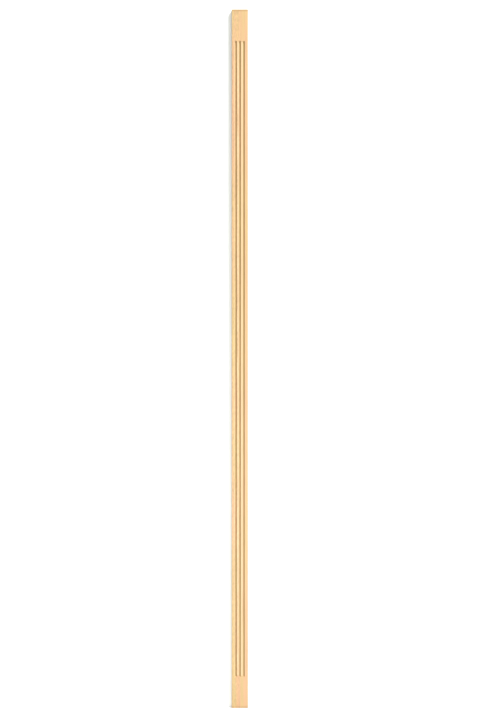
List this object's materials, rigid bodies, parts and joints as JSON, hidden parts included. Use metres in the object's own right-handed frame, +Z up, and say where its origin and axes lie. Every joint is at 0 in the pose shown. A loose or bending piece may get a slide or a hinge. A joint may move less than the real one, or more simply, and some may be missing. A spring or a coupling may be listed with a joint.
{
  "type": "fluted pilaster",
  "caption": "Slim wooden pilaster: a tall narrow board with stopped round-bottomed flutes between plain head and foot blocks, fixed by its flat back to a wall or cabinet.",
  "frame": {"origin": "middle of the flat back face, halfway up the board", "axes": "+Z up along the board's length, +Y out of the back towards the wall it is fixed to, and the fluted face looks along -Y"},
  "size_m": [0.055, 0.01, 2.4],
  "materials": {
    "maple": "sanded hardwood under a thin clear satin coat"
  },
  "bodies": {
    "root": {"fluted_board": "maple"}
  },
  "joints": []
}
